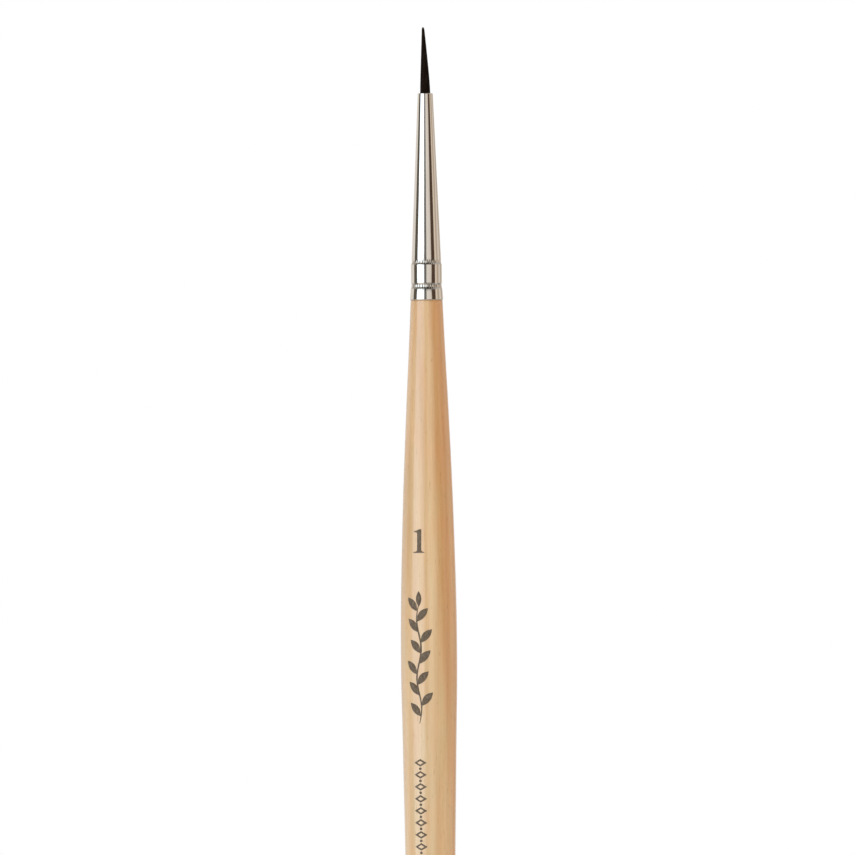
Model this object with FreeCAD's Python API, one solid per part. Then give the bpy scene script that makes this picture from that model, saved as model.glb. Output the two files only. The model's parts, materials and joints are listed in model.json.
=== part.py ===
"""Fine detail brush: a pointed hair tuft in a crimped metal ferrule on a turned wooden handle.

Millimetres. The brush stands on +Z: the handle's tail end is at the origin and the hair points up.
Every piece is turned about Z, apart from the thread that is wound round the hair root.
The part is built as the real one is put together. The hair is tied with thread and glued into
the small end of the ferrule. The handle's tenon is glued into the large end, and two rings are
rolled into the metal to grip the wood.
"""
import FreeCAD, Part
import math
import os

# ---- driving dimensions -------------------------------------------------------------------
HANDLE_LENGTH = 147.0          # tail end to the shoulder that the ferrule butts on
FERRULE_LENGTH = 25.0
HAIR_OUT = 8.0                 # hair that stands out of the ferrule

# Handle, by its radius at heights above the tail end
TAIL_RADIUS = 2.0              # the tail end is a half ball
BELLY_HEIGHT = 104.6
BELLY_RADIUS = 3.41            # thickest place, where the fingers hold it
NECK_RADIUS = 1.925            # at the shoulder
HANDLE_STATIONS = [            # (height, radius) from the tail to the shoulder
    (TAIL_RADIUS, TAIL_RADIUS),
    (40.0, 2.50),
    (80.0, 3.03),
    (93.0, 3.24),
    (BELLY_HEIGHT, BELLY_RADIUS),
    (119.0, 3.14),
    (134.0, 2.55),
    (141.0, 2.20),
    (HANDLE_LENGTH, NECK_RADIUS),
]

# Ferrule, by its outer radius
WALL = 0.22                    # thickness of the drawn tube
MOUTH_RADIUS = 0.91            # small end, where the hair comes out
CONE_RADIUS = 1.77             # foot of the long cone, at the upper crimp
LAND_RADIUS = 1.86             # straight band between the two crimps
SKIRT_RADIUS = 1.91            # top of the short skirt below the lower crimp
LIP_RADIUS = 2.00              # the skirt flares to this at the handle
UPPER_CRIMP = 4.60             # crimp centres above the ferrule's large end
LOWER_CRIMP = 1.70
CRIMP_HALF_WIDTH = 0.34
CRIMP_DEPTH = 0.12

# Fixing of the handle
TENON_LENGTH = 9.0             # wood inside the ferrule
GLUE_FILM = 0.05               # glue between tenon and ferrule
GLUE_FILM_LENGTH = 8.6

# Hair inside the ferrule
ROOT_DEPTH = 12.0              # hair below the ferrule's mouth
ROOT_RADIUS = 0.67             # bundle where it leaves the ferrule
WAIST_RADIUS = 0.52            # bundle under the thread
ROOT_END_RADIUS = 0.60         # bundle at its cut lower end
WAIST_HALF_LENGTH = 0.75
WAIST_DEPTH = 7.8              # middle of the thread winding below the mouth
THREAD_RADIUS = 0.09
THREAD_PITCH = 0.19
THREAD_TURNS = 6
THREAD_CLEARANCE = 0.004       # keeps the winding just off the hair
PLUG_TOP_DEPTH = 8.7           # resin plug round the root, from the mouth down
PLUG_BOTTOM_DEPTH = 13.4

# Free hair: the shape that covers a ball at its foot and a small ball at its point
TUFT_FOOT_RADIUS = 0.60
TUFT_POINT_RADIUS = 0.10
BEND_HEIGHT = 0.65             # the hair bends about this height above the mouth

# ---- heights worked out from them ---------------------------------------------------------
SHOULDER_Z = HANDLE_LENGTH
MOUTH_Z = SHOULDER_Z + FERRULE_LENGTH
TIP_Z = MOUTH_Z + HAIR_OUT
BEND_Z = MOUTH_Z + BEND_HEIGHT
UPPER_CRIMP_Z = SHOULDER_Z + UPPER_CRIMP
LOWER_CRIMP_Z = SHOULDER_Z + LOWER_CRIMP

Z_AXIS = FreeCAD.Vector(0, 0, 1)
CENTRE = FreeCAD.Vector(0, 0, 0)


def at(radius, z):
    """A point of a turned outline."""
    return FreeCAD.Vector(radius, 0, z)


def line(a, b):
    return Part.LineSegment(a, b).toShape()


def arc(a, middle, b):
    return Part.Arc(a, middle, b).toShape()


def turned(edges):
    """The solid that a closed outline in the XZ plane sweeps round Z."""
    return Part.Face(Part.Wire(edges)).revolve(CENTRE, Z_AXIS, 360)


def disc(radius, z_low, z_high):
    return Part.makeCylinder(radius, z_high - z_low, at(0, z_low))


# ---- ferrule ------------------------------------------------------------------------------
def ferrule_line(inset):
    """The ferrule's outline from lip to mouth, moved towards the axis by inset."""
    lip = at(LIP_RADIUS - inset, SHOULDER_Z)
    skirt = at(SKIRT_RADIUS - inset, LOWER_CRIMP_Z - CRIMP_HALF_WIDTH)
    low_bottom = at(LAND_RADIUS - CRIMP_DEPTH - inset, LOWER_CRIMP_Z)
    land_low = at(LAND_RADIUS - inset, LOWER_CRIMP_Z + CRIMP_HALF_WIDTH)
    land_high = at(LAND_RADIUS - inset, UPPER_CRIMP_Z - CRIMP_HALF_WIDTH)
    high_bottom = at(CONE_RADIUS - CRIMP_DEPTH - inset, UPPER_CRIMP_Z)
    cone_foot = at(CONE_RADIUS - inset, UPPER_CRIMP_Z + CRIMP_HALF_WIDTH)
    mouth = at(MOUTH_RADIUS - inset, MOUTH_Z)
    return [
        line(lip, skirt),
        arc(skirt, low_bottom, land_low),
        line(land_low, land_high),
        arc(land_high, high_bottom, cone_foot),
        line(cone_foot, mouth),
    ]


def filled_to(inset):
    """Everything inside the ferrule's outline once it is moved inwards by inset."""
    foot, top = at(0, SHOULDER_Z), at(0, MOUTH_Z)
    return turned(
        [line(foot, at(LIP_RADIUS - inset, SHOULDER_Z))]
        + ferrule_line(inset)
        + [line(at(MOUTH_RADIUS - inset, MOUTH_Z), top), line(top, foot)]
    )


def ferrule():
    """One seamless drawn tube. Its wall follows the crimps on both sides."""
    mouth = line(at(MOUTH_RADIUS, MOUTH_Z), at(MOUTH_RADIUS - WALL, MOUTH_Z))
    lip = line(at(LIP_RADIUS - WALL, SHOULDER_Z), at(LIP_RADIUS, SHOULDER_Z))
    inner = ferrule_line(WALL)[::-1]
    return turned(ferrule_line(0) + [mouth] + inner + [lip])


# ---- handle -------------------------------------------------------------------------------
def tenon():
    """The handle's nose, shaped to the bore less the glue film, with a small lead-in."""
    top_z = SHOULDER_Z + TENON_LENGTH
    nose = filled_to(WALL + GLUE_FILM).common(disc(LIP_RADIUS, SHOULDER_Z, top_z))
    rim = [edge for edge in nose.Edges if abs(edge.BoundBox.ZMin - top_z) < 1e-6]
    return nose.makeChamfer(0.25, rim)


def handle():
    """Turned from one piece of hardwood: half-ball tail, long taper, belly, neck and tenon."""
    tail_middle = at(
        TAIL_RADIUS * math.sin(math.pi / 4),
        TAIL_RADIUS - TAIL_RADIUS * math.cos(math.pi / 4),
    )
    tail_rim = at(TAIL_RADIUS, TAIL_RADIUS)
    outline = Part.BSplineCurve()
    outline.interpolate([at(r, z) for z, r in HANDLE_STATIONS])
    shoulder = at(NECK_RADIUS, SHOULDER_Z)
    top = at(0, SHOULDER_Z)
    body = turned(
        [
            arc(CENTRE, tail_middle, tail_rim),
            outline.toShape(),
            line(shoulder, top),
            line(top, CENTRE),
        ]
    )
    return body.fuse(tenon())


def handle_glue():
    """The glue film between the tenon and the ferrule's bore."""
    film = disc(LIP_RADIUS, SHOULDER_Z, SHOULDER_Z + GLUE_FILM_LENGTH)
    return filled_to(WALL).common(film).cut(tenon())


# ---- hair inside the ferrule --------------------------------------------------------------
def hair_root():
    """The bound half of the hair bundle, narrowed to a waist where the thread pulls it in."""
    waist_z = MOUTH_Z - WAIST_DEPTH
    end_z = MOUTH_Z - ROOT_DEPTH
    shoulder_length = 1.2      # hair fans out over this much above and below the winding
    waist_low, waist_high = waist_z - WAIST_HALF_LENGTH, waist_z + WAIST_HALF_LENGTH
    outline = [
        at(0, end_z),
        at(ROOT_END_RADIUS, end_z),
        at(ROOT_END_RADIUS, waist_low - shoulder_length),
        at(WAIST_RADIUS, waist_low),
        at(WAIST_RADIUS, waist_high),
        at(ROOT_RADIUS, waist_high + shoulder_length),
        at(ROOT_RADIUS, MOUTH_Z),
        at(0, MOUTH_Z),
    ]
    return turned([line(a, b) for a, b in zip(outline, outline[1:] + outline[:1])])


def binding_thread():
    """One thread, wound round the hair root side by side."""
    radius = WAIST_RADIUS + THREAD_RADIUS + THREAD_CLEARANCE
    height = THREAD_PITCH * THREAD_TURNS
    start_z = MOUTH_Z - WAIST_DEPTH - height / 2
    path = Part.makeHelix(THREAD_PITCH, height, radius)
    rise = FreeCAD.Vector(0, 2 * math.pi * radius, THREAD_PITCH)
    section = Part.Wire(Part.makeCircle(THREAD_RADIUS, at(radius, 0), rise))
    winding = path.makePipeShell([section], True, True)
    winding.translate(at(0, start_z))
    return winding


def resin_plug():
    """Cured resin that fills the bore round the hair's cut end."""
    low, high = MOUTH_Z - PLUG_BOTTOM_DEPTH, MOUTH_Z - PLUG_TOP_DEPTH
    return filled_to(WALL).common(disc(LIP_RADIUS, low, high)).cut(hair_root())


# ---- free hair ----------------------------------------------------------------------------
def hair_tuft():
    """The hair outside the ferrule, from a round foot at the bend to a fine point."""
    foot, point = BEND_Z, TIP_Z - TUFT_POINT_RADIUS
    slope = math.asin((TUFT_FOOT_RADIUS - TUFT_POINT_RADIUS) / (point - foot))

    def on_ball(radius, centre_z, angle):
        return at(radius * math.cos(angle), centre_z + radius * math.sin(angle))

    bottom = at(0, foot - TUFT_FOOT_RADIUS)
    foot_rim = on_ball(TUFT_FOOT_RADIUS, foot, slope)
    point_rim = on_ball(TUFT_POINT_RADIUS, point, slope)
    tip = at(0, TIP_Z)
    below = (slope - math.pi / 2) / 2
    above = (slope + math.pi / 2) / 2
    return turned(
        [
            arc(bottom, on_ball(TUFT_FOOT_RADIUS, foot, below), foot_rim),
            line(foot_rim, point_rim),
            arc(point_rim, on_ball(TUFT_POINT_RADIUS, point, above), tip),
            line(tip, bottom),
        ]
    )


NODES = {
    "handle": handle,
    "handle_glue": handle_glue,
    "ferrule": ferrule,
    "resin_plug": resin_plug,
    "hair_root": hair_root,
    "binding_thread": binding_thread,
    "hair_tuft": hair_tuft,
}

os.makedirs("parts", exist_ok=True)
for name, make in NODES.items():
    shape = make()
    shape.exportStep(f"parts/{name}.step")
    box = shape.BoundBox
    print(
        f"{name}: {len(shape.Solids)} solid, valid {shape.isValid()}, "
        f"{shape.Volume:.3f} mm3, z {box.ZMin:.2f} to {box.ZMax:.2f}, "
        f"radius {box.XMax:.3f}"
    )
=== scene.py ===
# %% [markdown]
# # A fine detail brush
#
# The brush stands on its tail end with its hair up. From the bottom it has a turned, lacquered
# wooden handle, a nickel-plated ferrule that is crimped onto the wood in two rings, and a pointed
# tuft of dark hair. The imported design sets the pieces, their places and the brush's size, and this
# script adds the looks: finer meshes for four of the pieces, a finish for each material, marks on
# the handle, and the light.

import json
import math
import random

import bmesh
import bpy
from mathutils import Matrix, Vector


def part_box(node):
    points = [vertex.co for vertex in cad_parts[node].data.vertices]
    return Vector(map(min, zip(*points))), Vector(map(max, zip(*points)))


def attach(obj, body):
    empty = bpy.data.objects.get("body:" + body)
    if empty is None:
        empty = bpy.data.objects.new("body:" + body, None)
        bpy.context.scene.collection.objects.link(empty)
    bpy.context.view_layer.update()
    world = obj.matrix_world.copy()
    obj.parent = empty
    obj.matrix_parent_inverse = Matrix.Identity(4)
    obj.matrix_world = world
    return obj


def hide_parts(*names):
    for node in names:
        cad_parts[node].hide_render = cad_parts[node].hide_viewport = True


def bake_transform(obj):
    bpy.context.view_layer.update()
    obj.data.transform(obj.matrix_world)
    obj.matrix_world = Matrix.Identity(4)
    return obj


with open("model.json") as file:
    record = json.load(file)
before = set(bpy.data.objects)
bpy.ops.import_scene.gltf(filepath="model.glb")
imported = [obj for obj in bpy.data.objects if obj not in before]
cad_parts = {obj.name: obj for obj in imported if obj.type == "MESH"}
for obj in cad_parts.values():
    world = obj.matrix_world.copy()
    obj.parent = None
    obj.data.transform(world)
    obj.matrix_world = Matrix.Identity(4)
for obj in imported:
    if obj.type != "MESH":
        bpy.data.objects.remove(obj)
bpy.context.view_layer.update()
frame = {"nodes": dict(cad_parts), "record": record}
print("packed nodes:", sorted(frame["nodes"]))

# %% [markdown]
# ## The measures that everything shares
#
# A maker thinks of a brush in millimetres, and Blender's unit here is the metre, so every outline
# below is written in millimetres and multiplied by MM once, when its mesh is made. The heights of
# the ferrule's two ends and of the hair's tip, the widest radii and the radius between the crimps
# are read from the frame, so these follow the design if it changes.

# %% Heights and radii from the frame
MM = 0.001
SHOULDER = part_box("ferrule")[0].z / MM
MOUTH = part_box("ferrule")[1].z / MM
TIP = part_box("hair_tuft")[1].z / MM
BELLY_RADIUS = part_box("handle")[1].x / MM
LIP_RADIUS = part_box("ferrule")[1].x / MM
cap_seat = next(mount for mount in frame["record"]["mounts"] if mount["name"] == "cap_seat")
LAND_RADIUS = cap_seat["dims"]["r_mm"]
print(f"ferrule from {SHOULDER:.2f} to {MOUTH:.2f} mm, hair to {TIP:.2f} mm")


# %% [markdown]
# ## Turning a piece
#
# The handle is cut on a lathe and the ferrule is spun or drawn round, so both are made in the same
# way here: half of an outline is drawn as a line of (radius, height) points, and the spin operator
# carries it once round the Z axis. With use_merge the last step joins the first, and merging the
# doubled points closes the poles where the outline touches the axis. Making the faces point
# outwards comes last, because a spin may turn them inside out.

# %% A lathe
def lathe(outline, steps):
    """A bmesh of the outline, (radius, height) points in millimetres, spun round the Z axis."""
    bm = bmesh.new()
    points = [bm.verts.new((radius * MM, 0, height * MM)) for radius, height in outline]
    lines = [bm.edges.new(pair) for pair in zip(points, points[1:])]
    bmesh.ops.spin(
        bm,
        geom=points + lines,
        cent=(0, 0, 0),
        axis=(0, 0, 1),
        dvec=(0, 0, 0),
        angle=2 * math.pi,
        steps=steps,
        use_merge=True,
    )
    bmesh.ops.remove_doubles(bm, verts=bm.verts, dist=1e-7)
    bmesh.ops.recalc_face_normals(bm, faces=bm.faces)
    return bm


# %% A bmesh becomes a piece
def make_piece(name, bm, material):
    """Puts a bmesh into the scene as a smooth-shaded piece with its finish."""
    mesh = bpy.data.meshes.new(name)
    bm.to_mesh(mesh)
    bm.free()
    mesh.shade_smooth()
    mesh.materials.append(material)
    piece = bpy.data.objects.new(name, mesh)
    bpy.context.scene.collection.objects.link(piece)
    print(f"{name}: {len(mesh.vertices)} points, {len(mesh.polygons)} faces")
    return piece


# %% [markdown]
# ## Finishes in general
#
# Every finish is a Principled shader fed by procedural patterns. The patterns read Object
# coordinates, so they are fixed in the piece. Most of what shows on a brush is drawn out along its
# length, as wood grain, hair and polishing marks are, so one helper makes a noise whose spots have
# a width in millimetres and are some times longer than they are wide.

# %% Helpers for finishes
def new_finish(name, **settings):
    """A material with one Principled shader. The settings are the shader's own socket values."""
    material = bpy.data.materials.new(name)
    material.use_nodes = True
    tree = material.node_tree
    shader = tree.nodes["Principled BSDF"]
    for socket, value in settings.items():
        shader.inputs[socket.replace("_", " ")].default_value = value
    return material, tree, shader


def streaks(tree, width, stretch, detail=3.0, shift=0.0):
    """A noise with spots of a width in millimetres, drawn out along the brush."""
    place = tree.nodes.new("ShaderNodeTexCoord")
    mapping = tree.nodes.new("ShaderNodeMapping")
    across = 1 / (width * MM)
    mapping.inputs["Scale"].default_value = (across, across, across / stretch)
    mapping.inputs["Location"].default_value = (shift, shift, shift)
    noise = tree.nodes.new("ShaderNodeTexNoise")
    noise.inputs["Scale"].default_value = 1.0
    noise.inputs["Detail"].default_value = detail
    tree.links.new(place.outputs["Object"], mapping.inputs["Vector"])
    tree.links.new(mapping.outputs["Vector"], noise.inputs["Vector"])
    return noise.outputs["Fac"]


def ramp(tree, factor, stops):
    """A colour ramp over a factor. The stops are (position, colour) pairs."""
    node = tree.nodes.new("ShaderNodeValToRGB")
    elements = node.color_ramp.elements
    while len(elements) < len(stops):
        elements.new(1.0)
    for element, (position, colour) in zip(elements, stops):
        element.position = position
        element.color = (*colour, 1.0)
    tree.links.new(factor, node.inputs["Fac"])
    return node.outputs["Color"]


def grey(value):
    """A colour with three equal parts."""
    return (value, value, value)


def blended(tree, kind, share, first, second):
    """A Mix node of two colours, with a fixed share or a factor from another node."""
    node = tree.nodes.new("ShaderNodeMix")
    node.data_type = "RGBA"
    node.blend_type = kind
    if isinstance(share, float):
        node.inputs["Factor"].default_value = share
    else:
        tree.links.new(share, node.inputs["Factor"])
    tree.links.new(first, node.inputs["A"])
    tree.links.new(second, node.inputs["B"])
    return node.outputs["Result"]


def bumped(tree, shader, height, depth):
    """Bump of a depth in millimetres from a 0 to 1 height."""
    node = tree.nodes.new("ShaderNodeBump")
    node.inputs["Strength"].default_value = 1.0
    node.inputs["Distance"].default_value = depth * MM
    tree.links.new(height, node.inputs["Height"])
    tree.links.new(node.outputs["Normal"], shader.inputs["Normal"])


# %% [markdown]
# ## Lacquered wood
#
# The handle is pale, close-grained wood, turned from a squared stick, sanded and dipped in clear
# lacquer. The lacquer is the shader's coat, smooth and clear, over a duller base. The base has a
# soft highlight of its own, with a cool tint so that the brightest wood doesn't turn too yellow.

# %% Wood under lacquer
wood, wood_tree, wood_shader = new_finish(
    "lacquered_wood",
    Roughness=0.5,
    Specular_Tint=(0.4, 0.7, 1.0, 1.0),
    Coat_Weight=0.9,
    Coat_Roughness=0.15,
    Coat_IOR=1.56,
)

# %% [markdown]
# ### Growth rings
#
# A turned piece cuts through the tree's growth rings, so the rings are made in three dimensions: a
# Wave texture of rings about a pith that lies outside the handle. Where the belly swells, its
# surface cuts the rings at a slant and the pattern widens by itself. Squeezing the texture's space
# along the brush draws the rings' waver out along the grain.

# %% Rings about a pith
RING_SPACING = 1.3
RING_WAVER_SQUEEZE = 0.12
PITH = (9.0, 6.0)


def growth_rings(tree):
    """Rings at their spacing in millimetres about a line along the brush, outside the handle."""
    place = tree.nodes.new("ShaderNodeTexCoord")
    mapping = tree.nodes.new("ShaderNodeMapping")
    mapping.inputs["Scale"].default_value = (1 / MM, 1 / MM, RING_WAVER_SQUEEZE / MM)
    mapping.inputs["Location"].default_value = (*PITH, 0)
    wave = tree.nodes.new("ShaderNodeTexWave")
    wave.wave_type = "RINGS"
    wave.rings_direction = "Z"
    wave.inputs["Scale"].default_value = math.pi / 10 / RING_SPACING
    wave.inputs["Distortion"].default_value = 2.2
    wave.inputs["Detail"].default_value = 2.0
    wave.inputs["Detail Scale"].default_value = 1.5
    tree.links.new(place.outputs["Object"], mapping.inputs["Vector"])
    tree.links.new(mapping.outputs["Vector"], wave.inputs["Vector"])
    return wave.outputs["Fac"]


rings = ramp(
    wood_tree,
    growth_rings(wood_tree),
    [(0.0, (0.67, 0.39, 0.166)), (0.55, (0.705, 0.417, 0.185)), (1.0, (0.715, 0.435, 0.196))],
)
print(f"growth rings {RING_SPACING} mm apart about a pith {math.hypot(*PITH):.1f} mm away")

# %% [markdown]
# ### Bands of tone and of painted light
#
# Three bands are tints that the rings are multiplied by. A darker, redder band runs up the right
# side: partly heartwood, partly painted shade for the side turned away from the softbox. A paler,
# bluer band runs up left of the middle: a painted highlight where the lacquer mirrors the softbox,
# with painted shade along its darker far-left edge. The whole stick grows paler and bluer on its
# way down past the belly, a painted highlight for the broader sheen there. All three lie at a
# slight slant. A dot product with a slanted direction measures how far a point lies across the
# stick, or down it. Noise can make a band's edge waver, and a Map Range turns the measure into 0
# to 1.

# %% Slanted bands
def slanted(tree, slant, first, last, waves=0.0):
    """From 0 to 1 between two places, in millimetres, measured along a slanted direction."""
    place = tree.nodes.new("ShaderNodeTexCoord")
    measure = tree.nodes.new("ShaderNodeVectorMath")
    measure.operation = "DOT_PRODUCT"
    measure.inputs[1].default_value = slant
    wavy = tree.nodes.new("ShaderNodeMath")
    wavy.operation = "MULTIPLY_ADD"
    wavy.inputs[1].default_value = waves * MM
    across = tree.nodes.new("ShaderNodeMapRange")
    across.interpolation_type = "SMOOTHSTEP"
    across.inputs["From Min"].default_value = first * MM
    across.inputs["From Max"].default_value = last * MM
    tree.links.new(place.outputs["Object"], measure.inputs[0])
    tree.links.new(streaks(tree, 1.6, 14, 2.0, 7.0), wavy.inputs[0])
    tree.links.new(measure.outputs["Value"], wavy.inputs[2])
    tree.links.new(wavy.outputs["Value"], across.inputs["Value"])
    return across.outputs["Result"]


# A darker, redder band up the right side: partly heartwood, partly painted shade on the side away
# from the softbox.
heartwood_and_shade = ramp(
    wood_tree,
    slanted(wood_tree, (1.0, 0.0, 0.03), 4.9, 6.1, 1.2),
    [(0.0, grey(1.0)), (1.0, (0.85, 0.70, 0.53))],
)
# Paler and bluer downwards past the belly: a painted highlight for the broader sheen there.
lower_painted_highlight = ramp(
    wood_tree,
    slanted(wood_tree, (0.3, 0.0, -1.0), -134.0, -90.0),
    [(0.0, grey(1.0)), (0.2, (1.03, 1.07, 1.10)), (1.0, (1.03, 1.13, 1.25))],
)
# A paler, bluer band left of the middle is a painted highlight of the softbox in the lacquer; its
# darker far-left edge is painted shade.
highlight_band_and_edge_shade = ramp(
    wood_tree,
    slanted(wood_tree, (1.0, 0.0, -0.027), -6.4, -0.4, 1.0),
    [
        (0.0, (0.81, 0.83, 0.85)),
        (0.22, (1.05, 1.12, 1.26)),
        (0.75, (1.06, 1.13, 1.24)),
        (1.0, grey(1.0)),
    ],
)

# %% [markdown]
# ### Fibres, clouds and flecks
#
# Closer up, the wood has long fine fibres, soft clouds a millimetre wide and short dark flecks.
# They are noise at three sizes, multiplied in like the bands. A fourth noise is a bump a few
# thousandths of a millimetre high in the wood under the lacquer.

# %% Multiply the layers
fibres = ramp(
    wood_tree,
    streaks(wood_tree, 0.22, 45),
    [(0.3, (0.94, 0.90, 0.85)), (0.7, grey(1.0))],
)
clouds = ramp(
    wood_tree,
    streaks(wood_tree, 1.1, 5, 2.0, 5.0),
    [(0.3, (1.03, 0.97, 0.94)), (0.7, (0.98, 1.01, 1.0))],
)
flecks = ramp(
    wood_tree,
    streaks(wood_tree, 0.16, 6, 1.0, 3.0),
    [(0.24, (0.88, 0.82, 0.75)), (0.34, grey(1.0))],
)
# The wood's colour: the rings times every layer, with the bands' painted shade and painted
# highlights among them.
grain = rings
layers = (heartwood_and_shade, lower_painted_highlight, highlight_band_and_edge_shade, fibres, clouds, flecks)
for layer in layers:
    grain = blended(wood_tree, "MULTIPLY", 1.0, grain, layer)
wood_tree.links.new(grain, wood_shader.inputs["Base Color"])
bumped(wood_tree, wood_shader, streaks(wood_tree, 0.5, 12), 0.004)
print(f"{wood.name} has {len(layers)} layers over its rings")

# %% [markdown]
# ## Nickel plate
#
# The ferrule is brass tube with a bright nickel plate. Nickel is a slightly warm metal, and a
# polished one shows the room in sharp upright stripes, so its roughness is low. Drawing and
# polishing leave very fine marks along the tube, and thin tube is never quite true: a slow bump
# makes the stripes waver a little.

# %% The ferrule's finish
nickel, nickel_tree, nickel_shader = new_finish("nickel_plate", Metallic=1.0)
plate = ramp(
    nickel_tree,
    streaks(nickel_tree, 0.8, 5),
    [(0.3, (0.66, 0.605, 0.53)), (0.7, (0.71, 0.655, 0.58))],
)
polish = ramp(
    nickel_tree,
    streaks(nickel_tree, 0.05, 40),
    [(0.3, grey(0.06)), (0.7, grey(0.14))],
)
nickel_tree.links.new(polish, nickel_shader.inputs["Roughness"])
bumped(nickel_tree, nickel_shader, streaks(nickel_tree, 1.2, 4, 1.0), 0.012)
print(f"{nickel.name} has {len(nickel_tree.nodes)} shader nodes so far")

# %% [markdown]
# The two toothed crimps get painted shade: a darker grey tint in the plate's colour stands for
# the shade that falls inside the grooves. The tint depends on the height on the ferrule: a Map
# Range turns that into 0 at the lip and 1 at the mouth, and a ramp holds it round each crimp.

# %% Painted shade in the crimps
LOWER_CRIMP = 1.70
UPPER_CRIMP = 4.60
CRIMP_HALF_WIDTH = 0.34
# The tint below is painted shade for the inside of the crimps.
CRIMP_SHADE = (0.88, 0.86, 0.83)
CRIMP_SHADE_EDGES = (-1.1, -0.8, 0.5, 1.0)


def crimp_painted_shade(tree):
    """White along the ferrule, and a darker tint of painted shade in its two crimps."""
    place = tree.nodes.new("ShaderNodeTexCoord")
    parts = tree.nodes.new("ShaderNodeSeparateXYZ")
    along = tree.nodes.new("ShaderNodeMapRange")
    along.inputs["From Min"].default_value = SHOULDER * MM
    along.inputs["From Max"].default_value = MOUTH * MM
    tree.links.new(place.outputs["Object"], parts.inputs["Vector"])
    tree.links.new(parts.outputs["Z"], along.inputs["Value"])
    stops = []
    for crimp in (LOWER_CRIMP, UPPER_CRIMP):
        heights = [crimp + edge * CRIMP_HALF_WIDTH for edge in CRIMP_SHADE_EDGES]
        places = [height / (MOUTH - SHOULDER) for height in heights]
        stops += zip(places, (grey(1.0), CRIMP_SHADE, CRIMP_SHADE, grey(1.0)))
    return ramp(tree, along.outputs["Result"], stops)


# The crimps' painted shade is multiplied into the plate's colour.
plate = blended(nickel_tree, "MULTIPLY", 1.0, plate, crimp_painted_shade(nickel_tree))
nickel_tree.links.new(plate, nickel_shader.inputs["Base Color"])
print(f"crimps {LOWER_CRIMP} and {UPPER_CRIMP} mm above the ferrule's lip")

# %% [markdown]
# ## Hair, thread, resin, glue and ink
#
# The hair is nearly black. Its fine brown streaks are a painted highlight, lighter strands in the
# base colour that stand for the hair's sheen, and the shader adds a warm sheen of its own. Inside
# the ferrule the bound root is tied with waxed thread and set in amber resin, and a cream film of
# glue holds the wood.
# They don't show, but each has its own finish, because the brush may be cut open or taken apart.
# The marks are matt grey-brown ink, stamped a little unevenly over the lacquer. All five are made
# in one way, so a helper takes the size of the spots, their tints, and the size of the grain.

# %% A finish of spots and grain
def spotted(name, spots, tints, grain, depth, **settings):
    """A finish with tints in soft spots and a fine bump. Spots and grain are (width, stretch)."""
    material, tree, shader = new_finish(name, **settings)
    tint = ramp(tree, streaks(tree, *spots), tints)
    tree.links.new(tint, shader.inputs["Base Color"])
    bumped(tree, shader, streaks(tree, *grain), depth)
    print(f"{name}: spots {spots[0]} mm wide, grain {grain[0]} mm wide")
    return material


# %% The small finishes
# The lightest spots, brown strands, are a painted highlight for the hair's sheen.
hair = spotted(
    "dark_hair",
    (0.12, 30),
    [(0.3, (0.002, 0.0009, 0.0005)), (0.55, (0.005, 0.0028, 0.0016)), (0.72, (0.03, 0.02, 0.013))],
    (0.03, 80),
    0.002,
    Roughness=0.45,
    Specular_IOR_Level=0.2,
    Specular_Tint=(1.0, 0.58, 0.38, 1.0),
)
thread = spotted(
    "waxed_thread",
    (0.05, 1),
    [(0.35, (0.66, 0.60, 0.46)), (0.65, (0.84, 0.80, 0.68))],
    (0.04, 1),
    0.01,
    Roughness=0.6,
    Sheen_Weight=0.3,
)
resin = spotted(
    "cured_resin",
    (0.5, 1),
    [(0.35, (0.52, 0.30, 0.09)), (0.65, (0.74, 0.50, 0.21))],
    (0.3, 1),
    0.01,
    Roughness=0.18,
    Coat_Weight=0.4,
)
glue = spotted(
    "cured_glue",
    (0.4, 2),
    [(0.35, (0.76, 0.66, 0.44)), (0.65, (0.86, 0.79, 0.61))],
    (0.2, 2),
    0.01,
    Roughness=0.45,
)
ink = spotted(
    "mark_ink",
    (0.18, 2),
    [(0.35, (0.12, 0.088, 0.058)), (0.6, (0.17, 0.13, 0.09)), (0.78, (0.28, 0.22, 0.155))],
    (0.1, 2),
    0.004,
    Roughness=0.6,
    Specular_IOR_Level=0.15,
)

# %% [markdown]
# ## The pieces that the design already gives
#
# The resin, the bound hair root and its thread sit inside the ferrule. Their shapes are right as
# they come, so they keep the design's meshes and only get their finishes.

# %% Finish the inner pieces
INNER_FINISHES = {
    "resin_plug": resin,
    "hair_root": hair,
    "binding_thread": thread,
}
for node, finish in INNER_FINISHES.items():
    inner = frame["nodes"][node]
    inner.data.materials.clear()
    inner.data.materials.append(finish)
    print(f"{node} is finished with {finish.name}")

# %% [markdown]
# ## The ferrule's outline
#
# The ferrule is a straight cone from the hair's mouth down to the upper crimp, a short straight
# land, the lower crimp, and a skirt that opens a little over the wood. Each crimp is a groove
# rolled in with a toothed wheel. Its section has a flat floor between two slopes, and the upper
# crimp is narrower, with a gentler slope over it. Both are given as shares of the full depth at
# heights from the crimp's middle. All the rest is straight lines between a few radii.

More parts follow.
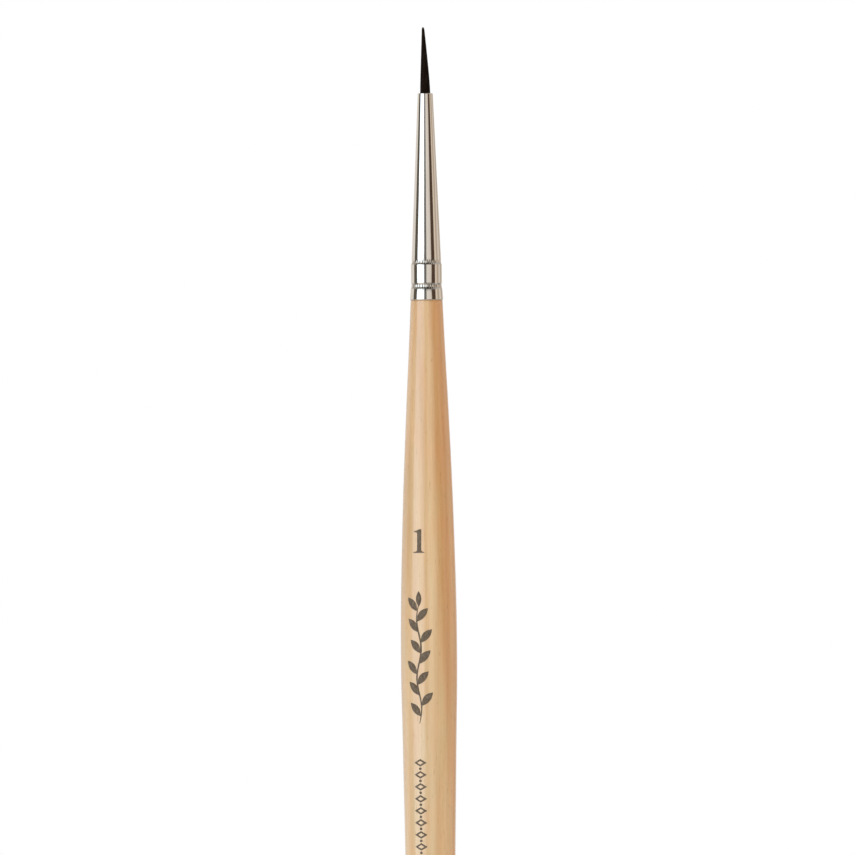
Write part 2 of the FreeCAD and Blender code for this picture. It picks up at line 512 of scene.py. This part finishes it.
# %% The outline as a formula
WALL = 0.22
MOUTH_RADIUS = 0.91
CONE_RADIUS = 1.77
SKIRT_RADIUS = 1.91
CRIMP_DEPTH = 0.065
CRIMP_SECTIONS = {
    LOWER_CRIMP: [(-9.0, 0.0), (-0.36, 0.0), (-0.16, 1.0), (0.14, 1.0), (0.35, 0.0), (99.0, 0.0)],
    UPPER_CRIMP: [(-9.0, 0.0), (-0.28, 0.0), (-0.13, 1.0), (-0.05, 1.0), (0.36, 0.0), (99.0, 0.0)],
}
FERRULE_LENGTH = MOUTH - SHOULDER
LIP_FLARE = [
    (0.0, LIP_RADIUS),
    (LOWER_CRIMP - CRIMP_HALF_WIDTH, SKIRT_RADIUS),
    (LOWER_CRIMP + CRIMP_HALF_WIDTH, LAND_RADIUS),
    (UPPER_CRIMP - CRIMP_HALF_WIDTH, LAND_RADIUS),
    (UPPER_CRIMP + CRIMP_HALF_WIDTH, CONE_RADIUS),
    (FERRULE_LENGTH, MOUTH_RADIUS),
]


def between(points, where):
    """The value at a place on the straight lines through (place, value) points."""
    for (low, value_low), (high, value_high) in zip(points, points[1:]):
        if where <= high:
            return value_low + (value_high - value_low) * (where - low) / (high - low)
    return points[-1][1]


def dip(height, crimp):
    """How deep the crimp's groove is at a height over the lip, from 0 to 1."""
    return between(CRIMP_SECTIONS[crimp], height - crimp)


def ferrule_radius(height):
    """The ferrule's outer radius at a height over its lip."""
    groove = dip(height, LOWER_CRIMP) + dip(height, UPPER_CRIMP)
    return between(LIP_FLARE, height) - CRIMP_DEPTH * groove


print(f"ferrule {2 * ferrule_radius(LOWER_CRIMP):.2f} mm across in its lower crimp")

# %% [markdown]
# ## Turning the ferrule
#
# The outline goes up the outside, over the rounded rim at the mouth, down the inside at the
# wall's thickness, and back round the lip, so the spin makes a closed tube of real sheet metal.
# The heights are close together in the crimps, and far apart on the cone, where the line is
# straight. Two more heights close to each end keep the long faces' shading straight.

# %% Where the outline has its points
CRIMP_STEPS = 18
CRIMP_REACH = 1.15 * CRIMP_HALF_WIDTH
RIM_STEPS = 6
RIM_ROUND = 0.07


def spread(first, last, steps):
    """Evenly spaced numbers from first to last."""
    return [first + (last - first) * step / steps for step in range(steps + 1)]


def crimp_heights(crimp):
    """Close heights across one crimp and a little past its ends."""
    return spread(crimp - CRIMP_REACH, crimp + CRIMP_REACH, CRIMP_STEPS)


side_heights = (
    [RIM_ROUND, 0.15, 0.5, 0.9]
    + crimp_heights(LOWER_CRIMP)
    + [2.3, 3.1, 3.9]
    + crimp_heights(UPPER_CRIMP)
    + spread(5.2, FERRULE_LENGTH - 0.3, 12)
    + [FERRULE_LENGTH - RIM_ROUND - 0.08, FERRULE_LENGTH - RIM_ROUND]
)


def half_round(middle, height, radius, first, last):
    """Points on an arc, from one angle to another, in degrees from straight out."""
    angles = [math.radians(angle) for angle in spread(first, last, RIM_STEPS)]
    return [(middle + radius * math.cos(a), height + radius * math.sin(a)) for a in angles]


print(f"{len(side_heights)} heights up the ferrule's side")


# %% Spin the ferrule
TEETH = 42
COLUMNS_PER_TOOTH = 8


def ferrule_outline():
    """The closed outline of the ferrule's wall, in (radius, height) points."""
    outside = [(ferrule_radius(height), height) for height in side_heights]
    inside = [(radius - WALL, height) for radius, height in reversed(outside)]
    top, low = outside[-1], outside[0]
    rim = half_round(top[0] - RIM_ROUND, top[1], RIM_ROUND, 0, 90)
    rim += half_round(top[0] - WALL + RIM_ROUND, top[1], RIM_ROUND, 90, 180)
    lip = half_round(low[0] - WALL + RIM_ROUND, low[1], RIM_ROUND, 180, 270)
    lip += half_round(low[0] - RIM_ROUND, low[1], RIM_ROUND, 270, 360)
    line = outside[:-1] + rim + inside[1:-1] + lip
    return [(radius, SHOULDER + height) for radius, height in line]


ferrule_bm = lathe(ferrule_outline(), TEETH * COLUMNS_PER_TOOTH)

# %% [markdown]
# ## The crimps' teeth
#
# The wheel that rolls a crimp has fine teeth, so the groove is full of small notches, about 0.28
# of a millimetre apart. They are pressed in here by moving the points of the groove inwards in a
# zigzag round the ring. Each tooth has eight columns of faces, enough for a sharp notch. The
# teeth bite deepest just under the middle of the groove and fade out at its edges.

# %% Press in the teeth
TOOTH_DEPTH = 0.034
TOOTH_DROP = 0.06


def press_teeth(verts):
    """Moves the points that lie in the two grooves inwards, in a zigzag round the ferrule."""
    pressed = 0
    for vert in verts:
        height = vert.co.z / MM - SHOULDER
        bite = dip(height + TOOTH_DROP, LOWER_CRIMP) + dip(height + TOOTH_DROP, UPPER_CRIMP)
        if bite == 0:
            continue
        turn = math.atan2(vert.co.y, vert.co.x) / (2 * math.pi) * TEETH
        zigzag = abs(2 * (turn % 1) - 1)
        radius = math.hypot(vert.co.x, vert.co.y)
        shrink = 1 - TOOTH_DEPTH * MM * bite * zigzag / radius
        vert.co.x *= shrink
        vert.co.y *= shrink
        pressed += 1
    return pressed


print("points pressed by the crimping wheel:", press_teeth(ferrule_bm.verts))
ferrule = make_piece("crimped_ferrule", ferrule_bm, nickel)
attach(ferrule, "brush_body")
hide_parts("ferrule")

# %% [markdown]
# ## The handle's outline
#
# A lathe hand cuts the handle to a few gauge diameters and joins them by eye in one sweep. A
# Bezier curve with automatic handles does the same: it passes through the gauge points and is
# smooth between them. The curve is drawn, turned into a plain line of points, and thrown away.

# %% Draw a smooth line through gauge points
def smooth_line(gauges, steps):
    """Points along a Bezier curve with automatic handles through (radius, height) points."""
    curve = bpy.data.curves.new("gauge_line", "CURVE")
    curve.dimensions = "3D"
    curve.resolution_u = steps
    spline = curve.splines.new("BEZIER")
    spline.bezier_points.add(len(gauges) - 1)
    for knot, (radius, height) in zip(spline.bezier_points, gauges):
        knot.co = (radius, 0, height)
        knot.handle_left_type = "AUTO"
        knot.handle_right_type = "AUTO"
    drawing = bpy.data.objects.new("gauge_line", curve)
    line = bpy.data.meshes.new_from_object(drawing)
    found = [(point.co.x, point.co.z) for point in line.vertices]
    bpy.data.objects.remove(drawing)
    bpy.data.curves.remove(curve)
    bpy.data.meshes.remove(line)
    return found


# %% The handle's gauge points
TAIL_RADIUS = 2.0
BELLY_HEIGHT = 104.6
NECK_RADIUS = 1.925
HANDLE_GAUGES = [
    (TAIL_RADIUS, TAIL_RADIUS),
    (2.50, 40.0),
    (3.03, 80.0),
    (3.24, 93.0),
    (BELLY_RADIUS, BELLY_HEIGHT),
    (3.14, 119.0),
    (2.55, 134.0),
    (2.20, 141.0),
    (NECK_RADIUS, SHOULDER),
]
handle_line = smooth_line(HANDLE_GAUGES, 14)
handle_profile = [(height, radius) for radius, height in handle_line]


def handle_radius(height):
    """The handle's radius at a height, in millimetres."""
    return between(handle_profile, height)


print(f"{len(handle_line)} points; radius at 60 mm is {handle_radius(60):.3f} mm")

# %% [markdown]
# ## Turning the handle
#
# The tail is rounded off as a half ball. At the shoulder the wood steps in to a tenon, which goes
# up into the ferrule with a thin film of glue round it, and the crimps press into it too. The
# edge of the shoulder is broken slightly, so it doesn't end in a hard line under the lip.

# %% Spin the handle
HANDLE_STEPS = 144
TENON_LENGTH = 9.0
GLUE_FILM = 0.05
EDGE_BREAK = 0.06
tenon_gap = WALL + GLUE_FILM


def handle_outline():
    """The handle's outline from the tail's pole, up and over the tenon to the axis again."""
    quarter = spread(-90, 0, 12)[:-1]
    tail = [
        (
            TAIL_RADIUS * math.cos(math.radians(angle)),
            TAIL_RADIUS + TAIL_RADIUS * math.sin(math.radians(angle)),
        )
        for angle in quarter
    ]
    body = handle_line[:-1]
    shoulder = [
        (NECK_RADIUS, SHOULDER - 2 * EDGE_BREAK),
        (NECK_RADIUS - 0.3 * EDGE_BREAK, SHOULDER - 0.3 * EDGE_BREAK),
        (NECK_RADIUS - EDGE_BREAK, SHOULDER),
    ]
    tenon = [
        (ferrule_radius(height) - tenon_gap, SHOULDER + height)
        for height in side_heights
        if height < TENON_LENGTH
    ]
    end = [(tenon[-1][0] - 0.2, SHOULDER + TENON_LENGTH), (0, SHOULDER + TENON_LENGTH)]
    return tail + body + shoulder + [(tenon[0][0], SHOULDER)] + tenon + end


handle = make_piece(
    "turned_handle", lathe(handle_outline(), HANDLE_STEPS), wood
)
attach(handle, "brush_body")
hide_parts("handle")

# %% [markdown]
# ## The glue film
#
# A thin film of glue fills what is left between the tenon and the ferrule's bore. It is a tube as
# well: its outline goes up along the bore and comes back down along the wood. The crimping wheel
# pressed the ferrule's wall into the glue, so the film's outside gets the same teeth, while its
# inside stays on the smooth wood.

# %% Spin the glue film
GLUE_FILM_LENGTH = 8.6


def glue_outline():
    """The closed outline of the film, up along the bore and down along the tenon."""
    heights = [height for height in side_heights if height < GLUE_FILM_LENGTH]
    heights.append(GLUE_FILM_LENGTH)
    bore = [(ferrule_radius(height) - WALL, SHOULDER + height) for height in heights]
    inside = [(radius - GLUE_FILM, height) for radius, height in reversed(bore)]
    return bore + inside + bore[:1]


def on_the_bore(vert):
    """Whether a point is on the film's outside."""
    bore = ferrule_radius(vert.co.z / MM - SHOULDER) - WALL
    return math.hypot(vert.co.x, vert.co.y) / MM > bore - GLUE_FILM / 2


glue_bm = lathe(glue_outline(), TEETH * COLUMNS_PER_TOOTH)
press_teeth([vert for vert in glue_bm.verts if on_the_bore(vert)])
glue_film = make_piece("glue_film", glue_bm, glue)
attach(glue_film, "brush_body")
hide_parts("handle_glue")

# %% [markdown]
# ## The hair
#
# The tuft is a bundle of several hundred hairs. They stand side by side in the mouth and their
# fine natural tips meet in a point. Each hair is a line of a curve object with a round bevel that
# thins towards its tip, which is the easiest way to make many tapered tubes. The hairs are set
# out like the seeds of a sunflower, so they fill the round mouth evenly, and each keeps its own
# share of the bundle's radius on the way up. A few locks draw together, as hair does once it has
# been wet and shaped, and the whole point leans a little to one side.

# %% Settings of the bundle
HAIR_COUNT = 560
HAIR_RADIUS = 0.024
HAIR_POINTS = 7
BUNDLE_RADIUS = 0.635
POINT_RADIUS = 0.18
HAIR_START = MOUTH - 1.6
LEAN = 0.22
SWELL = 0.08
BLUNTNESS = 50
END_SHARE = 0.4
LOCKS = 7
LOCK_DEPTH = 0.07
LOCK_TURN = 1.4
GOLDEN_ANGLE = math.pi * (3 - math.sqrt(5))
hair_length = TIP - MOUTH


def way_up(height):
    """How far up the free hair a height is: 0 at the mouth and below it, 1 at the tip."""
    return max(0.0, (height - MOUTH) / hair_length)


def lean(up):
    """How far the bundle leans to the left, in millimetres."""
    return LEAN * up**1.3


def bundle_radius(height):
    """The bundle's radius at a height: straight in the mouth, then a cone with a blunt tip."""
    up = way_up(height)
    cone = BUNDLE_RADIUS + (POINT_RADIUS - BUNDLE_RADIUS) * up
    rounding = math.sqrt(max(0.0, 1 - up**BLUNTNESS))
    swell = 1 + SWELL * (1 - up) * math.sin(math.pi * min(1.0, up)) ** 0.5
    return cone * swell * (END_SHARE + (1 - END_SHARE) * rounding)


print(f"{hair_length:.1f} mm of hair, {2 * BUNDLE_RADIUS:.2f} mm thick at the mouth")


# %% Lay out the hairs
ANGLE_SCATTER = 0.06
WANDER = 0.10
SHORTER_BY = 0.035
THINNING = 0.6


def hair_point(height, share, angle, wander):
    """Where a hair is at a height, for its share of the bundle's radius and its own angle."""
    up = way_up(height)
    lock = LOCK_DEPTH * math.sin(LOCKS * angle) * math.sin(math.pi * up) ** 0.7 if up else 0.0
    reach = (bundle_radius(height) - HAIR_RADIUS) * share * (1 - abs(lock))
    turned = angle + LOCK_TURN * lock + wander * up
    x = reach * math.cos(turned) - lean(up)
    y = reach * math.sin(turned)
    return (x * MM, y * MM, height * MM, 1.0)


def hair_lines():
    """A curve object's data with one tapered NURBS line for each hair."""
    chance = random.Random(11)
    curve = bpy.data.curves.new("hair_lines", "CURVE")
    curve.dimensions = "3D"
    curve.bevel_depth = HAIR_RADIUS * MM
    curve.bevel_resolution = 1
    curve.resolution_u = 3
    curve.use_fill_caps = True
    for number in range(HAIR_COUNT):
        share = math.sqrt((number + 0.5) / HAIR_COUNT)
        angle = number * GOLDEN_ANGLE + chance.uniform(-ANGLE_SCATTER, ANGLE_SCATTER)
        end = TIP - hair_length * SHORTER_BY * chance.random() ** 2
        wander = chance.uniform(-WANDER, WANDER)
        spline = curve.splines.new("NURBS")
        spline.points.add(HAIR_POINTS - 1)
        for place, point in enumerate(spline.points):
            along = place / (HAIR_POINTS - 1)
            height = HAIR_START + (end - HAIR_START) * along
            point.co = hair_point(height, share, angle, wander)
            point.radius = 1 - THINNING * along**3
        spline.order_u = 4
        spline.use_endpoint_u = True
    return curve


# %% [markdown]
# Many more hairs stand inside a real bundle than these. A dark core a little slimmer than the
# bundle takes their place, so no light shines through it.

# %% The core of the bundle
CORE_SHARE = 0.86
CORE_SHORTER_BY = 0.2
CORE_POINT = 0.1


def add_core(bm):
    """Adds a closed cone a little slimmer than the bundle, which leans in the same way."""
    heights = spread(HAIR_START, TIP - CORE_SHORTER_BY, 28)
    side = [(CORE_SHARE * bundle_radius(height), height) for height in heights]
    core = lathe([(0, heights[0])] + side + [(0, heights[-1] + CORE_POINT)], 40)
    for vert in core.verts:
        vert.co.x -= lean(way_up(vert.co.z / MM)) * MM
    mesh = bpy.data.meshes.new("bundle_core")
    core.to_mesh(mesh)
    core.free()
    bm.from_mesh(mesh)
    bpy.data.meshes.remove(mesh)


# %% Make the tuft
def make_tuft():
    """The bundle as one mesh piece."""
    curve = hair_lines()
    drawing = bpy.data.objects.new("hair_lines", curve)
    mesh = bpy.data.meshes.new_from_object(drawing)
    bm = bmesh.new()
    bm.from_mesh(mesh)
    add_core(bm)
    bmesh.ops.recalc_face_normals(bm, faces=bm.faces)
    bpy.data.objects.remove(drawing)
    bpy.data.curves.remove(curve)
    bpy.data.meshes.remove(mesh)
    return make_piece("pointed_tuft", bm, hair)


tuft = make_tuft()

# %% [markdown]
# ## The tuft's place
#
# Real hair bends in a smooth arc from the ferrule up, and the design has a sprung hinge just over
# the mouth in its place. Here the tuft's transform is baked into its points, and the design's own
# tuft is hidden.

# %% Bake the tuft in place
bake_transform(tuft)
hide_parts("hair_tuft")

# %% [markdown]
# ## Marks on the handle
#
# The maker stamps the brush's size on the handle, then an ornament, and a border under it. Each
# is drawn flat in millimetres, x across the handle and y along it, then given a thickness and
# wrapped round the wood: x becomes an angle, because the handle is round. A flat face can't
# follow a round handle, so the drawing is first cut into narrow strips with bisect_plane.

# %% Wrap a flat drawing round the handle
MARK_ANGLE = math.radians(-21)
INK_OVER = 0.012
INK_UNDER = 0.015
STRIP = 0.2
STRIPS_EACH_SIDE = 9
BAND = 1.0
BANDS_EACH_WAY = 22


def cut_into_strips(bm):
    """Cuts a flat drawing at even steps, so that it can bend."""
    strips = range(-STRIPS_EACH_SIDE, STRIPS_EACH_SIDE + 1)
    bands = range(-BANDS_EACH_WAY, BANDS_EACH_WAY + 1)
    lines = [((step * STRIP, 0, 0), (1, 0, 0)) for step in strips]
    lines += [((0, step * BAND, 0), (0, 1, 0)) for step in bands]
    for point, normal in lines:
        everything = bm.verts[:] + bm.edges[:] + bm.faces[:]
        bmesh.ops.bisect_plane(bm, geom=everything, dist=1e-5, plane_co=point, plane_no=normal)


def stamp(name, bm, height):
    """Makes a mark of a flat drawing whose middle lies at a height on the handle."""
    cut_into_strips(bm)
    bmesh.ops.recalc_face_normals(bm, faces=bm.faces)
    raised = bmesh.ops.extrude_face_region(bm, geom=bm.faces[:])["geom"]
    top = {part for part in raised if isinstance(part, bmesh.types.BMVert)}
    for vert in bm.verts:
        layer = INK_OVER if vert in top else -INK_UNDER
        up = height + vert.co.y
        radius = handle_radius(up) + layer
        angle = MARK_ANGLE + vert.co.x / radius
        vert.co = Vector((radius * math.sin(angle), -radius * math.cos(angle), up)) * MM
    bmesh.ops.recalc_face_normals(bm, faces=bm.faces)
    mark = make_piece(name, bm, ink)
    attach(mark, "brush_body")


# %% [markdown]
# ### The size number
#
# The size is a plain figure one, as on a dial, with a flag at its top and a thin foot. It is one
# outline, drawn clockwise from the left end of the foot.

# %% The figure one
ONE_HEIGHT = 117.86
ONE_MIDDLE = (0.03, 1.4)
ONE_OUTLINE = [
    (-0.70, 0.00),
    (-0.70, 0.09),
    (-0.32, 0.17),
    (-0.20, 0.30),
    (-0.20, 2.40),
    (-0.34, 2.47),
    (-0.58, 2.48),
    (-0.60, 2.62),
    (-0.20, 2.72),
    (0.08, 2.84),
    (0.34, 2.84),
    (0.34, 0.30),
    (0.44, 0.17),
    (0.72, 0.09),
    (0.72, 0.00),
]
one_bm = bmesh.new()
one_bm.faces.new(
    [one_bm.verts.new((x - ONE_MIDDLE[0], y - ONE_MIDDLE[1], 0)) for x, y in ONE_OUTLINE]
)
bmesh.ops.triangulate(one_bm, faces=one_bm.faces)
stamp("size_number", one_bm, ONE_HEIGHT)


# %% [markdown]
# ### The sprig
#
# A sprig of leaves is about the oldest ornament there is, and belongs to nobody. Its stem is a
# thin grid pushed into a gentle wave. Each leaf starts as a circle, which is scaled long and
# narrow, pinched so that its ends are pointed, turned, and moved to its place on the stem.

# %% The sprig's stem and leaves
SPRIG_HEIGHT = 103.1
SPRIG_HALF = 7.2
STEM_WIDTH = 0.2
STEM_SWING = 0.28
STEM_HALF_WAVE = 3.6
FIRST_LEAF = 0.9
LEAVES = 11
LEAF_TILT = math.radians(40)
LEAF_PITCH = 1.27
LEAF = (2.1, 0.88)
TOP_LEAF = (1.9, 0.70)


def stem_wave(y):
    """How far the stem swings to the side at a place along it."""
    return STEM_SWING * math.sin(math.pi * y / STEM_HALF_WAVE)


def add_stem(bm):
    """A thin strip along y, bent into a wave and tapered at both ends."""
    strip = bmesh.ops.create_grid(bm, x_segments=1, y_segments=48, size=1)["verts"]
    for vert in strip:
        along = vert.co.y
        vert.co.y = along * SPRIG_HALF
        taper = 1 - 0.6 * along**4
        vert.co.x = vert.co.x * STEM_WIDTH / 2 * taper + stem_wave(vert.co.y)


def add_leaf(bm, foot, tilt, length, width):
    """A pointed leaf whose foot is at a point, tilted from straight up."""
    leaf = bmesh.ops.create_circle(bm, cap_ends=True, segments=28, radius=1)["verts"]
    for vert in leaf:
        pinch = math.sqrt(max(0.0, 1 - vert.co.y**2))
        x = vert.co.x * pinch * width / 2 + 0.12 * math.sin(tilt) * vert.co.y**2 * length / 2
        y = (vert.co.y + 1) * length / 2
        vert.co.x = foot[0] + x * math.cos(tilt) + y * math.sin(tilt)
        vert.co.y = foot[1] - x * math.sin(tilt) + y * math.cos(tilt)


# %% Put the sprig together
sprig_bm = bmesh.new()
add_stem(sprig_bm)
for number in range(LEAVES):
    foot_y = -SPRIG_HALF + FIRST_LEAF + number * LEAF_PITCH
    side = 1 if number % 2 else -1
    add_leaf(sprig_bm, (stem_wave(foot_y), foot_y), side * LEAF_TILT, *LEAF)
add_leaf(sprig_bm, (stem_wave(SPRIG_HALF) - 0.02, SPRIG_HALF - 0.35), 0.0, *TOP_LEAF)
stamp("sprig", sprig_bm, SPRIG_HEIGHT)

# %% [markdown]
# ### The border
#
# Below the sprig runs a plain border of open lozenges with a dot between each two. A lozenge is a
# circle of four sides. Insetting its one face leaves a frame round a smaller face, and deleting
# that face leaves the frame.

# %% A border of lozenges
LOZENGES = 24
LOZENGE_PITCH = 1.45
LOZENGE_HALF = (0.80, 0.46)
LOZENGE_FRAME = 0.20
DOT_RADIUS = 0.17
BORDER_TOP = 91.6


def add_lozenge(bm, y):
    """An open lozenge with its middle at a place along the border."""
    made = bmesh.ops.create_circle(bm, cap_ends=True, segments=4, radius=1)["verts"]
    for vert in made:
        vert.co.x *= LOZENGE_HALF[0]
        vert.co.y = vert.co.y * LOZENGE_HALF[1] + y
    face = made[0].link_faces[0]
    bmesh.ops.inset_region(
        bm,
        faces=[face],
        thickness=LOZENGE_FRAME,
        use_even_offset=True,
        use_boundary=True,
    )
    bmesh.ops.delete(bm, geom=[face], context="FACES")


def add_dot(bm, y):
    """A small round dot in the middle of the border."""
    made = bmesh.ops.create_circle(bm, cap_ends=True, segments=14, radius=DOT_RADIUS)
    bmesh.ops.translate(bm, verts=made["verts"], vec=(0, y, 0))


border_bm = bmesh.new()
border_half = (LOZENGES - 1) * LOZENGE_PITCH / 2
for number in range(LOZENGES):
    place = border_half - number * LOZENGE_PITCH
    add_lozenge(border_bm, place)
    if number:
        add_dot(border_bm, place + LOZENGE_PITCH / 2)
stamp("border", border_bm, BORDER_TOP - LOZENGE_HALF[1] - border_half)

# %% [markdown]
# ## The floor
#
# The brush is held upright, its tail end on a plain pale floor. The floor is a large disc and
# isn't part of the brush. It is switched off for glossy rays, because the room below already has
# the table that the ferrule mirrors.

# %% Lay the floor
FLOOR_RADIUS = 1.3
floor_finish, floor_tree, floor_shader = new_finish("pale_floor", Roughness=0.8)
floor_tint = ramp(
    floor_tree,
    streaks(floor_tree, 40, 1),
    [(0.3, grey(0.80)), (0.7, grey(0.82))],
)
floor_tree.links.new(floor_tint, floor_shader.inputs["Base Color"])
floor_bm = bmesh.new()
bmesh.ops.create_circle(floor_bm, cap_ends=True, segments=96, radius=FLOOR_RADIUS)
floor = make_piece("floor", floor_bm, floor_finish)
floor.visible_glossy = False

# %% [markdown]
# ## The studio
#
# A shiny round ferrule shows the whole room as upright stripes: what is to its left and right,
# in front and behind. So the light here is the room itself, a World whose brightness depends on
# the direction. Round the brush stand a white wall with a doorway behind, a tall softbox to the
# left, a white reflector in front to the right, a warm wall on the right, and dark gaps. They only
# reach a little over and under the brush. Higher up the room is dim, darkest over the camera.
# Lower down come the room's shaded foot and then the pale table. The compass angle of a direction
# comes from Arctan2 of its x and y, 0 towards the camera and negative to the left.

# %% Stripes round the brush
WHITE = grey(1.0)
DARK = (0.13, 0.115, 0.09)
SLIT = (0.19, 0.18, 0.17)
SOFTBOX = (2.1, 2.5, 3.0)
SOFTBOX_EDGE = (1.65, 1.9, 2.25)
CREAM = (0.88, 0.82, 0.78)
WARM_DARK = (0.10, 0.065, 0.045)
WARM_WALL = (0.92, 0.82, 0.72)
WARM_SHADE = (0.60, 0.51, 0.43)
DOORWAY = (0.30, 0.27, 0.24)
LEVEL = [
    (-180, DOORWAY),
    (-174, DOORWAY),
    (-168, CREAM),
    (-108, WHITE),
    (-104, DARK),
    (-75, DARK),
    (-70, SOFTBOX),
    (-45, SOFTBOX),
    (-32, SOFTBOX_EDGE),
    (-20, SOFTBOX_EDGE),
    (-16, SLIT),
    (-2, SLIT),
    (2, WHITE),
    (36, CREAM),
    (40, WARM_DARK),
    (66, WARM_DARK),
    (70, WARM_WALL),
    (81, WARM_WALL),
    (86, WARM_SHADE),
    (98, WARM_SHADE),
    (106, CREAM),
    (120, CREAM),
    (130, WARM_SHADE),
    (148, WARM_SHADE),
    (154, CREAM),
    (166, CREAM),
    (172, DOORWAY),
]
print(f"the room has {len(LEVEL)} stops round the compass, level with the brush")

# %% The room over and under the brush
TABLE = (0.80, 0.78, 0.75)
HIGH = [
    (-112, grey(0.6)),
    (-100, grey(0.22)),
    (-77, grey(0.22)),
    (-70, grey(0.42)),
    (-22, grey(0.42)),
    (-14, grey(0.03)),
    (36, grey(0.04)),
    (44, grey(0.28)),
    (70, grey(0.40)),
    (85, grey(0.65)),
]
LOW = [
    (-180, grey(0.3)),
    (-168, grey(0.8)),
    (-112, grey(0.7)),
    (-104, grey(0.2)),
    (-77, grey(0.2)),
    (-70, grey(0.95)),
    (-22, grey(0.95)),
    (-14, grey(0.2)),
    (-2, grey(0.2)),
    (4, grey(0.34)),
    (36, grey(0.32)),
    (42, grey(0.18)),
    (64, grey(0.18)),
    (72, grey(0.75)),
    (92, grey(0.7)),
    (102, grey(0.35)),
    (128, grey(0.35)),
    (140, grey(0.8)),
    (168, grey(0.8)),
    (180, grey(0.3)),
]
TABLE_EDGE = (-42, -28)
LOW_EDGE = (-9, -4.5)
LEVEL_EDGE = (12, 24)

# %% [markdown]
# The direction itself comes from Texture Coordinate. Its x and y give the compass angle, which
# goes from 0 to 1 once round the room. Its z is the sine of the height angle, and is brought to 0
# to 1 as well. Each band of the room is a ramp over the compass, and it fades into the next one
# between two height angles.

# %% Ramps over a direction
def math_node(tree, operation, first, second):
    """A Math node. An input is a number or another node's output."""
    node = tree.nodes.new("ShaderNodeMath")
    node.operation = operation
    for socket, value in zip(node.inputs, (first, second)):
        if isinstance(value, (int, float)):
            socket.default_value = value
        else:
            tree.links.new(value, socket)
    return node.outputs["Value"]


world = bpy.data.worlds.new("studio")
bpy.context.scene.world = world
world.use_nodes = True
sky = world.node_tree
direction = sky.nodes.new("ShaderNodeTexCoord")
heading = sky.nodes.new("ShaderNodeSeparateXYZ")
sky.links.new(direction.outputs["Generated"], heading.inputs["Vector"])
towards = math_node(sky, "MULTIPLY", heading.outputs["Y"], -1)
around = math_node(sky, "ARCTAN2", heading.outputs["X"], towards)
compass = math_node(sky, "MULTIPLY_ADD", around, 1 / (2 * math.pi))
compass.node.inputs[2].default_value = 0.5
upward = math_node(sky, "MULTIPLY_ADD", heading.outputs["Z"], 0.5)
upward.node.inputs[2].default_value = 0.5


def round_the_room(stops):
    """A ramp over the compass. The stops are (degrees, colour) pairs."""
    return ramp(sky, compass, [((degrees + 180) / 360, colour) for degrees, colour in stops])


def above(edge):
    """From 0 to 1 between two height angles in degrees."""
    first, last = ((math.sin(math.radians(degrees)) + 1) / 2 for degrees in edge)
    return ramp(sky, upward, [(first, grey(0.0)), (last, grey(1.0))])


# %% Put the bands together
room = round_the_room([(-180, TABLE), (180, TABLE)])
for edge, stops in ((TABLE_EDGE, LOW), (LOW_EDGE, LEVEL), (LEVEL_EDGE, HIGH)):
    room = blended(sky, "MIX", above(edge), room, round_the_room(stops))
    print(f"a band with {len(stops)} stops fades in from {edge[0]} to {edge[1]} degrees up")

# %% [markdown]
# The camera itself sees plain white behind the brush, as in front of a lit sweep of paper. The
# Light Path node tells a camera's ray from one that lights or mirrors, so the white doesn't
# change what the ferrule reflects.

# %% What lights, and what is seen
lighting = sky.nodes["Background"]
sky.links.new(room, lighting.inputs["Color"])
backdrop = sky.nodes.new("ShaderNodeBackground")
backdrop.inputs["Color"].default_value = (1, 1, 1, 1)
ray = sky.nodes.new("ShaderNodeLightPath")
chosen = sky.nodes.new("ShaderNodeMixShader")
sky.links.new(ray.outputs["Is Camera Ray"], chosen.inputs["Fac"])
sky.links.new(lighting.outputs["Background"], chosen.inputs[1])
sky.links.new(backdrop.outputs["Background"], chosen.inputs[2])
sky.links.new(chosen.outputs["Shader"], sky.nodes["World Output"].inputs["Surface"])
bpy.context.scene.view_settings.view_transform = "Standard"
print(f"the studio has {len(sky.nodes)} shader nodes")

# %% [markdown]
# A broad soft light hangs overhead and makes the floor white. It is a Sun with a very wide disc,
# so it has no place that a camera could look at. Photographers hide such a light from shiny metal
# with black flags, and here it is switched off for glossy rays.

# %% Hang the overhead light
OVERHEAD_STRENGTH = 3.6
OVERHEAD_WIDTH = math.radians(60)
overhead_data = bpy.data.lights.new("overhead", "SUN")
overhead_data.energy = OVERHEAD_STRENGTH
overhead_data.angle = OVERHEAD_WIDTH
overhead = bpy.data.objects.new("overhead", overhead_data)
overhead.location = (0, 0, 1)
overhead.visible_glossy = False
bpy.context.scene.collection.objects.link(overhead)
print(f"overhead light {math.degrees(OVERHEAD_WIDTH):.0f} degrees wide")

# %% [markdown]
# ## The camera
#
# The brush is seen from the side with the marks, level with its upper half, through a long lens,
# so that its sides stay parallel. The camera is rolled by a fraction of a degree, as a hand-held
# one is, which tips the hair slightly to the left.

# %% Set up the camera
DISTANCE = 0.9
VIEW_HEIGHT = 0.10346
AIM_HEIGHT = 0.13157
ROLL = 0.0068
SENSOR = 36
camera_data = bpy.data.cameras.new("camera")
camera_data.sensor_width = SENSOR
camera_data.lens = SENSOR * DISTANCE / VIEW_HEIGHT
camera = bpy.data.objects.new("camera", camera_data)
bpy.context.scene.collection.objects.link(camera)
camera.location = (0, -DISTANCE, AIM_HEIGHT)
camera.rotation_euler = (math.pi / 2, ROLL, 0)
bpy.context.scene.camera = camera
print(f"a {camera_data.lens:.0f} mm lens at {DISTANCE} m")
